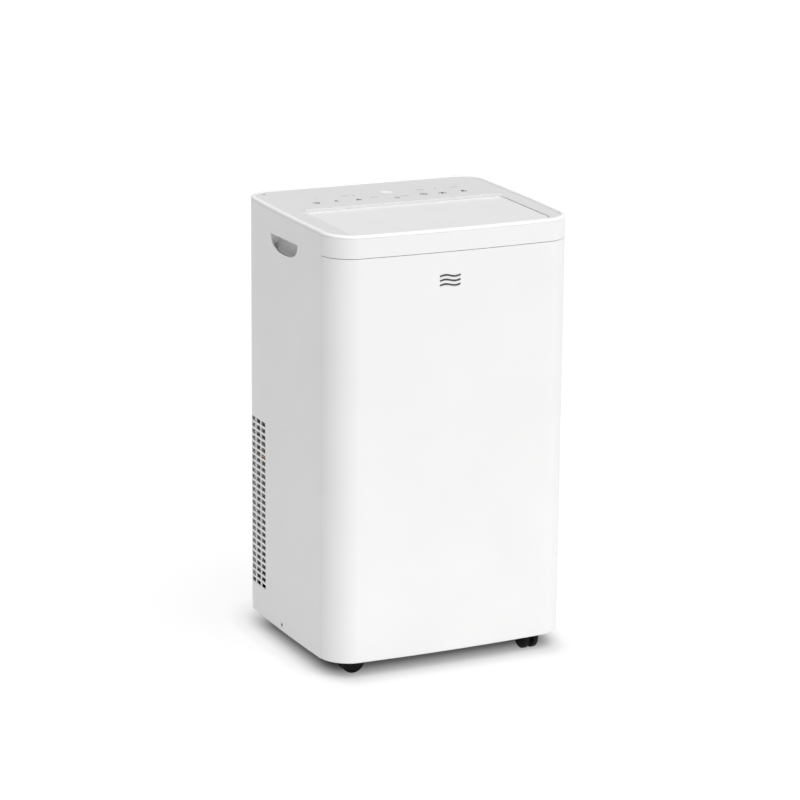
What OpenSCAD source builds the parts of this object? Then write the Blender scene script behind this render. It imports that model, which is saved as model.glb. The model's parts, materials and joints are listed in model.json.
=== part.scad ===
// Portable air conditioner: a bowed white cabinet on four swivel castors, with a top outlet
// flap, a touch deck, a rear intake door, a round exhaust collar and the whole refrigeration
// set inside. Millimetres, +Z up, front towards -Y, origin on the floor under the middle.

/* [Cabinet] */
// Widest measure of the body, across its bowed sides
body_w = 436; // [420:1:450]
// Depth of the body, from the bowed front to the flat back
body_d = 372; // [364:1:384]
// Height of the top rim at the front, above the floor
front_h = 734; // [732:1:744]
// How much higher the rim is at the back than at the front
rear_rise = 8; // [4:1:12]
// Gap between the floor and the bottom edge of the panels
floor_gap = 26; // [25:1:28]
// Plan radius of the four upright corners
corner_r = 45; // [42:1:48]
// How far the front bows out in plan
bow_front = 8; // [6:1:9]
// How far each side bows out in plan
bow_side = 4; // [3:0.5:5]
// Thickness of the moulded panels
wall = 2.5; // [2:0.1:3]
// Width of the visible seams between panels
seam = 0.8; // [0.6:0.1:1]
// Height of the seam between the front panel and the upper band
band_z = 697; // [690:1:700]

/* [Outlet] */
// Half the width of the outlet flap
flap_x = 178; // [176:1:179]
// Number of upright air vanes in the outlet
vane_count = 6; // [6:1:6]
// Distance between two vanes
vane_pitch = 50; // [48:1:52]

/* [Grilles] */
// Rows of slots in each side panel
slot_rows = 26; // [20:1:26]
// Distance between two rows of slots
slot_pitch = 11.35; // [11:0.05:11.5]
// Height of one slot
slot_h = 7.4; // [6:0.1:8]
// Length of one slot
slot_l = 18.5; // [16:0.5:19]

/* [Castors] */
// Radius of a castor wheel
wheel_r = 20; // [19:0.5:20]
// Distance from the swivel axis to the axle
trail = 14; // [12:0.5:14]

/* [Exhaust] */
// Inner radius of the exhaust collar
collar_r = 75; // [70:1:75]
// Height of the collar's axis above the floor
collar_z = 408; // [404:1:410]

/* [Hidden] */
$fn = 64;

white = "#f2f1f0";
deck_grey = "#e9e9e8";
black = "#1b1b1c";
steel = "#b9bcc0";
copper = "#b87348";
fin = "#c9ced2";

// Plan of the body: a rounded rectangle whose front and sides bow out.
plan_w = body_w - 2 * bow_side;
plan_d = body_d - bow_front;
y_front = -192;
plan_y = y_front + bow_front + plan_d / 2;
y_back = plan_y + plan_d / 2;
y_split = plan_y - plan_d / 2 + corner_r;
x_split = plan_w / 2 - corner_r;
corner_steps = 10;
side_steps = 12;
tilt = atan(rear_rise / body_d);
rim_t = 4.4;
rim_w = 8;
deck_t = 3;
deck_drop = 1;
big = 900;

function bowed(p) = [
    p[0] + sign(p[0]) * bow_side * (1 - pow(2 * p[1] / plan_d, 2)) * pow(2 * abs(p[0]) / plan_w, 3),
    p[1] - (p[1] < 0 ? bow_front * (1 - pow(2 * p[0] / plan_w, 2)) * pow(-2 * p[1] / plan_d, 3) : 0)];
function quarter(cx, cy, r, a) =
    [for (i = [0:corner_steps]) let (t = a + 90 * i / corner_steps) [cx + r * cos(t), cy + r * sin(t)]];
function between(p, q) = [for (i = [1:side_steps - 1]) p + (q - p) * i / side_steps];
function rounded(x, y, r) = let (
    a = quarter(x - r, y - r, r, 0), b = quarter(r - x, y - r, r, 90),
    c = quarter(r - x, r - y, r, 180), d = quarter(x - r, r - y, r, 270),
    n = corner_steps)
    concat(a, between(a[n], b[0]), b, between(b[n], c[0]), c, between(c[n], d[0]), d, between(d[n], a[0]));
function plan(inset) = [for (p = rounded(plan_w / 2 - inset, plan_d / 2 - inset, corner_r - inset)) bowed(p)];

module body_plan(inset) { translate([0, plan_y]) polygon(plan(inset)); }
module body_ring(outer, inner) {
    difference() { body_plan(outer); body_plan(inner); }
}
// The rim plane rises from front to back; w measures along its normal, 0 at the rim's top.
module on_rim() { translate([0, y_front, front_h]) rotate([tilt, 0, 0]) children(); }
module slab(w0, w1) { on_rim() translate([-big / 2, -50, w0]) cube([big, 500, w1 - w0]); }
module tube(r_out, r_in, h) {
    difference() { cylinder(r = r_out, h = h); translate([0, 0, -1]) cylinder(r = r_in, h = h + 2); }
}
// A cylinder along +Y that starts at the given point.
module along_y(r, l) { rotate([-90, 0, 0]) cylinder(r = r, h = l); }
module along_x(r, l) { rotate([0, 90, 0]) cylinder(r = r, h = l); }

// ---------------------------------------------------------------- outer panels
screw_y = 13;
screw_z = 36;

module front_panel() {
    color(white) intersection() {
        translate([0, 0, floor_gap]) linear_extrude(band_z - seam / 2 - floor_gap) body_ring(0, wall);
        translate([-big / 2, -big - seam / 2 + y_split, 0]) cube(big);
    }
}

module upper_front_band() {
    color(white) intersection() {
        translate([0, 0, band_z + seam / 2]) linear_extrude(60) body_ring(0, wall);
        translate([-big / 2, -big - seam / 2 + y_split, 0]) cube(big);
        slab(-100, -rim_t - 0.2);
    }
}

slot_z0 = 77;
slot_col = 22;
slot_y0 = 92;
slot_columns = 4;
corner_y = plan_y + plan_d / 2 - corner_r;

// Slots follow the side and then turn round the rear corner with it.
module side_slots() {
    for (c = [0:slot_columns - 1], i = [0:slot_rows - 1]) {
        y = slot_y0 + c * slot_col;
        z = slot_z0 + i * slot_pitch + slot_h / 2;
        if (y <= corner_y)
            translate([-plan_w / 2, y, z]) cube([20, slot_l, slot_h], center = true);
        else
            translate([-x_split, corner_y, z]) rotate([0, 0, -(y - corner_y) / corner_r * 180 / PI])
                translate([-corner_r, 0, 0]) cube([20, slot_l, slot_h], center = true);
    }
}

handle_y = 3;
handle_half = 54;
handle_top = 697;
handle_drop = 27;

// Mouth of the hand grip: straight on top, with a full round bottom.
function grip_arch(half, drop) =
    [for (i = [0:20]) let (c = cos(180 + 9 * i), s = sin(180 + 9 * i), n = 0.78)
        [half * sign(c) * pow(abs(c), n), -drop * pow(abs(s), n)]];
module grip_outline(half, drop) { polygon(grip_arch(half, drop)); }
module grip_mouth(depth) {
    translate([-plan_w / 2 - 8, handle_y, handle_top]) rotate([90, 0, 90])
        linear_extrude(depth) grip_outline(handle_half, handle_drop);
}

module side_panel_left() {
    color(white) difference() {
        intersection() {
            translate([0, 0, floor_gap]) linear_extrude(740 - floor_gap) body_ring(0, wall);
            union() {
                translate([-big, y_split + seam / 2, 0]) cube([big - x_split - seam / 2, big, big]);
            }
            slab(-big, -rim_t - 0.2);
        }
        side_slots();
        grip_mouth(20);
        translate([-plan_w / 2 - 10, screw_y, screw_z]) along_x(3.6, 20);
    }
}
module side_panel_right() { mirror([1, 0, 0]) side_panel_left(); }

// A pocket whose back slopes in from the mouth's lower edge to a finger hook behind its top.
grip_x = -plan_w / 2 - 0.8;
grip_deep = 27;
grip_floor = handle_top - handle_drop - 1;
module handle_left() {
    color(white) translate([0, handle_y, 0]) difference() {
        translate([grip_x, -62, handle_top - 36]) cube([grip_deep + 3, 124, 52]);
        intersection() {
            translate([grip_x - 1, -handle_half, grip_floor]) cube([grip_deep + 1, 2 * handle_half, 40]);
            translate([grip_x - 2, -big / 2, grip_floor]) rotate([0, -46, 0]) cube([90, big, 60]);
        }
        translate([grip_x - 1, -handle_half, grip_floor]) cube([2, 2 * handle_half, 28]);
    }
}
module handle_right() { mirror([1, 0, 0]) handle_left(); }

// ---------------------------------------------------------------- rear panel and its fittings
door_x = 150;
door_z0 = 522;
door_z1 = 706;
drain_lower = [120, 44];
drain_upper = [-120, 502];
spout_r = 9;
plug_r = 6.9;
gland_at = [-130, 84];
rear_screws = [for (x = [-158, 158], z = [48, 300, 500]) [x, z]];
screw_hole = 1.9;

module rear_slots() {
    for (c = [-3:2], i = [0:17])
        translate([(c + 0.5) * 48, y_back - 10, 92 + i * 11.35]) cube([42, 40, 6.5], center = true);
}

hinge_y = y_back - 3.5;
hinge_z = door_z0 + 4;
hinge_r = 1.5;

module rear_panel() {
    color(white) difference() {
        union() {
            intersection() {
                translate([seam / 2 - x_split, y_back - wall, floor_gap])
                    cube([2 * x_split - seam, wall, 720]);
                slab(-big, -rim_t - 0.2);
            }
            for (x = [-door_x - 8, door_x + 1]) translate([x, hinge_y - 4, hinge_z - 8]) cube([7, 6, 16]);
        }
        translate([-door_x - 1, y_back - 10, door_z0 - 2]) cube([2 * door_x + 2, 20, door_z1 - door_z0 + 3]);
        translate([-door_x - 10, hinge_y, hinge_z]) along_x(hinge_r + pin_gap, 2 * door_x + 20);
        translate([0, y_back - 10, collar_z]) along_y(collar_r + 5, 20);
        rear_slots();
        translate([drain_lower[0], y_back - 10, drain_lower[1]]) along_y(spout_r + 0.5, 20);
        translate([drain_upper[0], y_back - 10, drain_upper[1]]) along_y(spout_r + 0.5, 20);
        translate([gland_at[0], y_back - 10, gland_at[1]]) along_y(8, 20);
        for (s = rear_screws) translate([s[0], y_back - 10, s[1]]) along_y(screw_hole, 20);
    }
}

// Grille door over the evaporator: hooked at the bottom, it tilts out from the top.
module intake_grille() {
    color(white) difference() {
        union() {
            translate([-door_x, y_back - 3, door_z0]) cube([2 * door_x, 3, door_z1 - door_z0]);
            translate([-door_x + 8, y_back - 9, door_z0 + 8])
                cube([2 * door_x - 16, 6, door_z1 - door_z0 - 16]);
            for (m = [0, 1]) mirror([m, 0, 0]) {
                translate([door_x - 5, hinge_y - 2.5, hinge_z - 2.5]) cube([5, 5, 5]);
                translate([door_x - 1, hinge_y, hinge_z]) along_x(hinge_r, 8);
            }
        }
        translate([-door_x + 11, y_back - 12, door_z0 + 11])
            cube([2 * door_x - 22, 9, door_z1 - door_z0 - 22]);
        for (i = [0:13])
            translate([-door_x + 16, y_back - 10, door_z0 + 16 + i * 11])
                for (c = [0:3]) translate([c * 68, 0, 0]) cube([64, 20, 6]);
    }
}

// Nylon mesh in a frame, clipped into the back of the door.
module intake_filter() {
    color("#4a4d50") translate([-door_x + 11.3, y_back - 8.6, door_z0 + 11.3]) difference() {
        cube([2 * door_x - 22.6, 5, door_z1 - door_z0 - 22.6]);
        for (c = [0:5], i = [0:3])
            translate([4 + c * 45.6, -1, 4 + i * 38.6]) cube([42, 8, 35]);
    }
    color("#2e3133") translate([-door_x + 14, y_back - 6.6, door_z0 + 14])
        cube([2 * door_x - 28, 0.4, door_z1 - door_z0 - 28]);
}

// Round outlet that takes the exhaust hose; the hose adaptor slides into its bore.
collar_out = 12;
module exhaust_collar() {
    color(white) translate([0, y_back, collar_z]) {
        difference() {
            union() {
                translate([0, -26, 0]) along_y(collar_r + 4, 26 + collar_out);
                translate([0, 0.2, 0]) along_y(collar_r + 14, 3);
            }
            translate([0, -40, 0]) along_y(collar_r, 80);
            for (a = [45:90:315])
                rotate([0, a, 0]) translate([collar_r + 1, collar_out - 5, -4]) cube([6, 10, 8]);
        }
    }
}

// Rubber bung with a finger tab.
module drain_plug(at) {
    color(black) translate([at[0], 0, at[1]]) {
        translate([0, y_back - 12, 0]) along_y(plug_r, 12.6);
        translate([0, y_back + 0.5, 0]) along_y(spout_r + 1, 3);
        translate([-1.5, y_back + 3, -6]) cube([3, 8, 12]);
    }
}
module lower_drain_plug() { drain_plug(drain_lower); }
module upper_drain_plug() { drain_plug(drain_upper); }

module cable_gland() {
    color(black) translate([gland_at[0], y_back, gland_at[1]]) difference() {
        union() {
            translate([0, -8, 0]) along_y(7.8, 8.5);
            translate([0, 0.2, 0]) along_y(12, 3);
            translate([0, 3, 0]) along_y(8, 7);
        }
        translate([0, -20, 0]) along_y(4, 40);
    }
}

module pan_screw() {
    difference() {
        union() { along_y(1.8, 8); translate([0, 8, 0]) along_y(3.3, 2); }
        translate([-0.5, 9, -2.2]) cube([1, 3, 4.4]);
        translate([-2.2, 9, -0.5]) cube([4.4, 3, 1]);
    }
}
module panel_screws() {
    color(black) {
        for (s = rear_screws) translate([s[0], y_back - 7.9, s[1]]) pan_screw();
        for (m = [0, 1]) mirror([m, 0, 0])
            translate([-plan_w / 2 + 6.9, screw_y, screw_z]) rotate([0, 0, 90]) pan_screw();
    }
}

// ---------------------------------------------------------------- top rim, deck and controls
module top_rim() {
    color(white) {
        intersection() {
            translate([0, 0, 700]) linear_extrude(60) body_ring(0, rim_w);
            slab(-rim_t, 0);
        }
        intersection() {
            translate([0, 0, 700]) linear_extrude(60) body_ring(wall + 0.7, rim_w);
            slab(-14, -rim_t + 0.5);
        }
    }
}

flap_w = -1.9;
flap_t = 3;
flap_rear = 6.8;
flap_corner = 20;
flap_front = -178.3;
side_gap = 0.7;
lip_w = 2.7;
lip_back = 14;
lip_x = 184;
motor_boss = 2.2;
rear_gap = 1.2;
duct_front = -156;
duct_x = 179;
flap_bow = 3.9;
pin_r = 1.5;
pin_gap = 0.08;
axis_y = 0.8;
axis_z = front_h + (axis_y - y_front) * tan(tilt) + (flap_w - flap_t) / cos(tilt);
ear_top = axis_z + pin_r + 0.4;

// Plan of the flap: square at the hinge, round at the front corners, bowed like the front.
function flap_plan(g) = let (
    x = flap_x + g, r = flap_corner + g, f = flap_front - g, s = x - r)
    concat([[x, flap_rear + g], [-x, flap_rear + g]],
        [for (i = [0:8]) [-s - r * cos(90 * i / 8), f + r - r * sin(90 * i / 8)]],
        [for (i = [1:15]) let (u = -1 + i / 8) [s * u, f - flap_bow * (1 - u * u)]],
        [for (i = [8:-1:0]) [s + r * cos(90 * i / 8), f + r - r * sin(90 * i / 8)]]);

button_x = 10;
button_y = 97;
button_r = 11;
press = 0.8;
deck_w = -deck_drop;
board_w = deck_w - deck_t - 12;

// Anything on the deck is placed by x and by y, on the rim's plane.
module on_deck(x, y) { on_rim() translate([x, (y - y_front) / cos(tilt), 0]) children(); }

module top_deck() {
    color(deck_grey) difference() {
        union() {
            intersection() {
                translate([0, 0, 700]) linear_extrude(60) body_plan(rim_w + 0.3);
                slab(deck_w - deck_t, deck_w);
            }
            for (x = [-126, 126], y = [62, 112]) on_deck(x, y) translate([0, 0, board_w + 1.6])
                cylinder(r = 3, h = deck_w - deck_t + 0.1 - board_w - 1.6);
            intersection() {
                translate([-flap_x - side_gap - 2, duct_front, 729.6])
                    cube([2 * (flap_x + side_gap + 2), flap_rear + rear_gap + 2.4 - duct_front, 20]);
                slab(-40, deck_w);
            }
            on_rim() intersection() {
                translate([-big / 2, flap_rear + rear_gap - y_front, 0]) rotate([90, 0, 90])
                    linear_extrude(big) polygon([[0, deck_w - 1], [0, lip_w], [1, lip_w],
                        [lip_back, deck_w - 0.2], [lip_back, deck_w - 1]]);
                translate([0, 400, 0]) rotate([90, 0, 0]) linear_extrude(400)
                    polygon([[-lip_x, deck_w - 1], [lip_x, deck_w - 1], [lip_x, deck_w], [lip_x - 9, lip_w],
                        [9 - lip_x, lip_w], [-lip_x, deck_w]]);
            }
        }
        translate([0, 0, 700]) linear_extrude(60) {
            polygon(flap_plan(side_gap));
            translate([-flap_x - side_gap, -20]) square([2 * (flap_x + side_gap), 20 + flap_rear + rear_gap]);
        }
        for (x = [-1, 1]) translate([x * duct_x - 6, axis_y - 5, 700]) cube([12, 10, ear_top - 699.8]);
        translate([duct_x, axis_y, axis_z]) along_x(motor_boss + 0.2, 19);
        translate([-150, -200, 700]) cube([300, 40, 60]);
        on_deck(button_x, button_y) translate([0, 0, -10]) cylinder(r = button_r + 0.3, h = 20);
    }
}

// Board with the touch springs, the lamps and the one real switch, under the deck.
module control_board() {
    color("#1f6b45") on_deck(0, 52) translate([-136, 0, board_w]) cube([272, 70, 1.6]);
    color("#e8e8e8") {
        for (x = [-128, -90, -52, 64, 100, 133], y = [69, 100]) on_deck(x - 3, y)
            translate([0, 0, board_w + 1.5]) cylinder(r = 2.5, h = 9);
        on_deck(button_x, button_y) translate([-4, -4, board_w + 1.5]) cube([8, 8, 4]);
    }
}
module power_button() {
    color(white) on_deck(button_x, button_y) {
        translate([0, 0, deck_w - deck_t]) cylinder(r = button_r, h = deck_t + 0.6);
        translate([0, 0, deck_w - deck_t - 2.2]) cylinder(r = button_r + 2, h = 1.2);
        translate([0, 0, deck_w - deck_t - 1.1]) cylinder(r = button_r - 1, h = 1.2);
        translate([0, 0, board_w + 5.5 + press + 0.2]) cylinder(r = 2, h = 5);
    }
}

// ---------------------------------------------------------------- outlet flap and vanes
module flap() {
    color(deck_grey) {
        intersection() {
            translate([0, 0, 700]) linear_extrude(60) polygon(flap_plan(0));
            slab(flap_w - flap_t, flap_w);
        }
        for (x = [-120, 0, 120]) on_rim() translate([x - 1, 27, flap_w - flap_t - 3]) cube([2, 160, 4]);
        for (m = [0, 1]) mirror([m, 0, 0]) {
            translate([flap_x - 14, axis_y, axis_z]) along_x(3, 14);
            translate([flap_x - 1, axis_y, axis_z]) along_x(pin_r, 5.5);
        }
        translate([flap_x, axis_y, axis_z]) along_x(pin_r, 14);
    }
}

// Geared stepper on the right-hand pin, clear above the hand grip.
module flap_motor() {
    color("#d9d9d9") difference() {
        union() {
            translate([duct_x + 4.2, axis_y - 13, 714]) cube([14, 26, 18]);
            translate([duct_x + 4.2, axis_y, axis_z]) along_x(motor_boss, 14);
        }
        translate([duct_x, axis_y, axis_z]) along_x(pin_r + pin_gap, 14);
    }
}

duct_z0 = 676;
duct_z1 = 728.8;
duct_y1 = 12;
vane_y0 = -160;
vane_y1 = -30;
vane_z = 696;
vane_half = 15;
crank = 11;
throat_x0 = -14;
throat_x1 = 48;
throat_y0 = -112;
throat_y1 = -32;
function vane_x(i) = (i - (vane_count + 1) / 2) * vane_pitch;

// Plan of the duct: square at the hinge, with its front following the rim.
module duct_plan(g) {
    intersection() {
        body_plan(rim_w + 0.4 + g);
        translate([g - duct_x, -big]) square([2 * (duct_x - g), big + duct_y1 - g]);
    }
}
// Open box under the flap: it carries the flap's pins, the vanes and the blower's throat.
module outlet_duct() {
    color("#dededd") difference() {
        union() {
            translate([0, 0, duct_z0]) linear_extrude(duct_z1 - duct_z0) duct_plan(0);
            for (m = [0, 1]) mirror([m, 0, 0])
                translate([duct_x - 2, axis_y - 4.5, 690]) cube([6, 9, ear_top - 690]);
        }
        difference() {
            translate([0, 0, duct_z0 + 2.5]) linear_extrude(60) duct_plan(2.5);
            translate([-duct_x, vane_y0 - 8, vane_z - 5]) cube([2 * duct_x, 4, 10]);
            translate([-duct_x, vane_y1 + 4, vane_z - 5]) cube([2 * duct_x, 4, 10]);
        }
        translate([-duct_x - 0.6, axis_y - 20, duct_z1 - 6]) cube([2 * duct_x + 1.2, 40, 30]);
        translate([throat_x0, throat_y0, duct_z0 - 1])
            cube([throat_x1 - throat_x0, throat_y1 - throat_y0, 10]);
        translate([-duct_x - 6, axis_y, axis_z]) along_x(pin_r + pin_gap, 2 * duct_x + 12);
        for (i = [1:vane_count])
            translate([vane_x(i), vane_y0 - 10, vane_z]) along_y(pin_r + pin_gap, vane_y1 - vane_y0 + 20);
    }
}

module vane(i) {
    color("#dededd") translate([vane_x(i), 0, vane_z]) {
        translate([-0.8, vane_y0, -vane_half]) cube([1.6, vane_y1 - vane_y0, 2 * vane_half]);
        translate([0, vane_y0 - 7, 0]) along_y(pin_r, vane_y1 - vane_y0 + 14);
        translate([0, vane_y0 - 3.4, -crank]) along_y(pin_r, 6);
        translate([0, vane_y0, -crank]) along_y(2.2, 4);
    }
}

// Bar that ties the six vanes together by their lower pins.
module vane_link() {
    color("#dededd") difference() {
        translate([vane_x(1) - 5, vane_y0 - 3.2, vane_z - crank - 3])
            cube([vane_pitch * (vane_count - 1) + 10, 2.4, 6]);
        for (i = [1:vane_count])
            translate([vane_x(i), vane_y0 - 5, vane_z - crank]) along_y(pin_r + pin_gap, 6);
    }
}

// ---------------------------------------------------------------- base and castors
pan_z0 = 30;
pan_z1 = 64;
pocket_top = 54;
pocket_r = 36.5;
castor_at = [[-152, -148], [152, -148], [-152, 136], [152, 136]];
castor_turn = [180, 270, 180, 270];
stem_r = 5;

module base_pan() {
    color(black) difference() {
        union() {
            difference() {
                translate([0, 0, pan_z0]) linear_extrude(pan_z1 - pan_z0) body_plan(wall + 0.5);
                translate([0, 0, pan_z0 + 3]) linear_extrude(60) body_plan(wall + 3);
            }
            for (c = castor_at) intersection() {
                translate([c[0], c[1], pan_z0]) {
                    cylinder(r = pocket_r + 2.5, h = pocket_top + 2.5 - pan_z0);
                    cylinder(r = 10, h = 46);
                }
                linear_extrude(200) body_plan(wall + 0.5);
            }
            translate([drain_lower[0], y_back - 20, drain_lower[1]]) along_y(spout_r, 19.8);
            for (g = grommet_at) translate([g[0], g[1], pan_z0]) cylinder(r = 4, h = 38);
            translate([float_at[0], float_at[1], pan_z0]) cylinder(r = 2.5, h = 50);
        }
        for (c = castor_at) translate([c[0], c[1], 0]) {
            cylinder(r = pocket_r, h = pocket_top);
            cylinder(r = stem_r + 2, h = 200);
        }
        translate([drain_lower[0], y_back - 40, drain_lower[1]]) along_y(plug_r + 0.1, 60);
        for (m = [0, 1]) mirror([m, 0, 0])
            translate([-plan_w / 2 - 10, screw_y, screw_z]) along_x(screw_hole, 40);
        for (s = rear_screws) translate([s[0], y_back - 20, s[1]]) along_y(screw_hole, 30);
    }
}

module castor_sockets() {
    color(steel) for (c = castor_at)
        translate([c[0], c[1], pocket_top - 0.5]) tube(stem_r + 2, stem_r + pin_gap, 22);
}

axle_r = 3;
fork_half = 3.6;
wheel_w = 9.6;
module in_castor(i) {
    translate([castor_at[i][0], castor_at[i][1], 0]) rotate([0, 0, castor_turn[i]]) children();
}

module castor_fork(i) {
    color(black) in_castor(i) difference() {
        union() {
            translate([0, 0, 42]) cylinder(r = 12, h = 8);
            hull() {
                translate([trail, fork_half, wheel_r]) rotate([90, 0, 0])
                    cylinder(r = 8, h = 2 * fork_half, $fn = 32);
                translate([-8, -fork_half, 36]) cube([22, 2 * fork_half, 12]);
            }
            translate([0, 0, 44]) cylinder(r = stem_r, h = 30);
            translate([0, 0, 49]) cylinder(r = stem_r + 3, h = pocket_top - 0.8 - 49);
        }
        translate([trail, 20, wheel_r]) rotate([90, 0, 0]) cylinder(r = axle_r + pin_gap, h = 40);
    }
}

// One wheel, seen from its axle: rounded towards the outside, open to the fork.
module castor_wheel() {
    rotate_extrude() polygon(concat([[axle_r, 0], [wheel_r, 0]],
        [for (a = [0:15:90]) [wheel_r - 4 + 4 * cos(a), wheel_w - 4 + 4 * sin(a)]], [[axle_r, wheel_w]]));
}
module castor_wheels(i) {
    color(black) in_castor(i) translate([trail, 0, wheel_r]) {
        for (s = [0, 1]) mirror([0, s, 0])
            translate([0, fork_half + 0.6, 0]) rotate([-90, 0, 0]) castor_wheel();
    }
    color(steel) in_castor(i) translate([trail, -fork_half - 8, wheel_r]) along_y(axle_r, 2 * fork_half + 16);
}

// ---------------------------------------------------------------- refrigeration set
compressor_at = [-100, -60];
compressor_r = 50;
grommet_ring = 68;
foot_z = 72;
grommet_at = [for (a = [90, 210, 330])
    [compressor_at[0] + grommet_ring * cos(a), compressor_at[1] + grommet_ring * sin(a)]];
float_at = [-20, 96];

module compressor() {
    color(black) translate([compressor_at[0], compressor_at[1], 0]) {
        translate([0, 0, 76]) rotate_extrude() polygon(concat([[0, 0], [compressor_r - 8, 0]],
            [for (a = [-90:15:0]) [compressor_r - 8 + 8 * cos(a), 8 + 8 * sin(a)]],
            [for (a = [0:15:90]) [compressor_r - 22 + 22 * cos(a), 168 + 22 * sin(a)]], [[0, 190]]));
        difference() {
            union() for (a = [90, 210, 330]) rotate([0, 0, a])
                translate([0, -14, foot_z]) cube([grommet_ring + 12, 28, 4]);
            for (a = [90, 210, 330]) rotate([0, 0, a])
                translate([grommet_ring, 0, 60]) cylinder(r = 7, h = 30);
        }
        translate([0, 0, 265]) cylinder(r = 5, h = 7);
    }
}
module compressor_grommets() {
    color("#2a2a2a") for (g = grommet_at) translate([g[0], g[1], 0]) {
        translate([0, 0, pan_z0 + 3]) tube(11, 4.1, foot_z - pan_z0 - 3.1);
        translate([0, 0, foot_z - 1]) tube(6.8, 4.1, 6);
        translate([0, 0, foot_z + 4.1]) tube(11, 4.1, 4);
    }
}
acc_at = [-62, 12];
module accumulator() {
    color(black) translate([acc_at[0], acc_at[1], 110]) {
        cylinder(r1 = 12, r2 = 22, h = 14);
        translate([0, 0, 14]) cylinder(r = 22, h = 110);
        translate([0, 0, 124]) cylinder(r1 = 22, r2 = 10, h = 14);
    }
}

// Run of pipe through a list of points, with a ball at each bend.
module pipe(points, r) {
    for (i = [0:len(points) - 2]) {
        d = points[i + 1] - points[i];
        l = norm(d);
        translate(points[i]) rotate([0, acos(d[2] / l), atan2(d[1], d[0])]) cylinder(r = r, h = l);
    }
    for (i = [1:len(points) - 2]) translate(points[i]) sphere(r = 1.02 * r);
}

// A finned coil: fins across X between two flanged end plates, hairpin tubes along X.
tube_r = 4;
fin_gap = 12;
function coil_y(depth, r) = depth * (r + 0.5) / 2;
module tube_holes(depth, height, count) {
    for (r = [0, 1], i = [0:count - 1])
        translate([coil_y(depth, r), height * (i + 0.5) / count]) circle(r = tube_r + 0.05);
}
module fins(half, depth, height, count) {
    for (x = [-half:fin_gap:half]) translate([x, 0, 0]) rotate([90, 0, 90]) linear_extrude(0.8)
        difference() {
            square([depth, height]);
            tube_holes(depth, height, count);
        }
}
module end_plates(half, depth, height, count, foot, flange_y, flange_x, screw) {
    for (m = [0, 1]) mirror([m, 0, 0]) difference() {
        union() {
            translate([half + 1.6, 0, 0]) rotate([90, 0, 90]) linear_extrude(1.5) difference() {
                translate([-1, -foot]) square([flange_y + 1, height + foot]);
                tube_holes(depth, height, count);
            }
            translate([half + 1.6, flange_y - 1.5, -foot]) cube([flange_x, 1.5, height + foot]);
        }
        for (z = screw) translate([158, flange_y - 10, z]) along_y(screw_hole, 20);
    }
}
module coil_tubes(half, depth, height, count) {
    step = height / count;
    for (r = [0, 1]) translate([0, coil_y(depth, r), 0]) {
        for (i = [0:count - 1]) translate([-half - 6, 0, step * (i + 0.5)]) along_x(tube_r, 2 * half + 12);
        for (i = [0:count - 2]) translate([(i % 2 == 0 ? 1 : -1) * (half + 6), 0, step * (i + 1)])
            rotate([90, 0, 0]) rotate([0, 0, i % 2 == 0 ? -90 : 90])
                rotate_extrude(angle = 180) translate([step / 2, 0]) circle(r = tube_r);
    }
    bend = [[6, 0], [14, 0], [14, 1], [6, 1]];
    pipe([for (p = bend) [-half - p[0], coil_y(depth, p[1]), step / 2]], tube_r);
}
// Half width, depth, height and tubes per row of each coil, and where it stands.
condenser_at = [0, 108, 78];
condenser = [144, 44, 228, 10];
evaporator_at = [0, 114, 512];
evaporator = [132, 44, 192, 8];
function coil_end(at, c, r, i) =
    at + [-c[0] - 6.2, coil_y(c[1], r), c[2] * (i + 0.5) / c[3]];

module condenser_fins() {
    color(fin) translate(condenser_at) {
        fins(condenser[0], condenser[1], condenser[2], condenser[3]);
        end_plates(condenser[0], condenser[1], condenser[2], condenser[3],
            1.9, y_back - 5 - condenser_at[1], 20, [300 - condenser_at[2]]);
    }
}
module evaporator_fins() {
    color(fin) translate(evaporator_at) {
        fins(evaporator[0], evaporator[1], evaporator[2], evaporator[3]);
        end_plates(evaporator[0], evaporator[1], evaporator[2], evaporator[3],
            evaporator_at[2] - tray_z - 3.1, 46, 10, []);
    }
}
module condenser_tubes() {
    color(copper) translate(condenser_at) coil_tubes(condenser[0], condenser[1], condenser[2], condenser[3]);
}
module evaporator_tubes() {
    color(copper) translate(evaporator_at)
        coil_tubes(evaporator[0], evaporator[1], evaporator[2], evaporator[3]);
}

// Hot gas up from the compressor, and cold gas back down through the accumulator.
hot_z = 304;
cold_z = 320;
module refrigerant_pipes() {
    hot = coil_end(condenser_at, condenser, 0, 9);
    cold = coil_end(evaporator_at, evaporator, 0, 7);
    color(copper) {
        pipe([[compressor_at[0], compressor_at[1], 272.2], [compressor_at[0], compressor_at[1], hot_z],
              [-184, compressor_at[1], hot_z], [-184, hot[1], hot_z], [-184, hot[1], hot[2]], hot], 4);
        pipe([[acc_at[0], acc_at[1], 248.3], [acc_at[0], acc_at[1], cold_z], [-196, acc_at[1], cold_z],
              [-196, 60, cold_z], [-196, 60, 560], [-172, 60, 580], [-172, 60, cold[2]],
              [-172, cold[1], cold[2]], cold], 5);
    }
}
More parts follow.
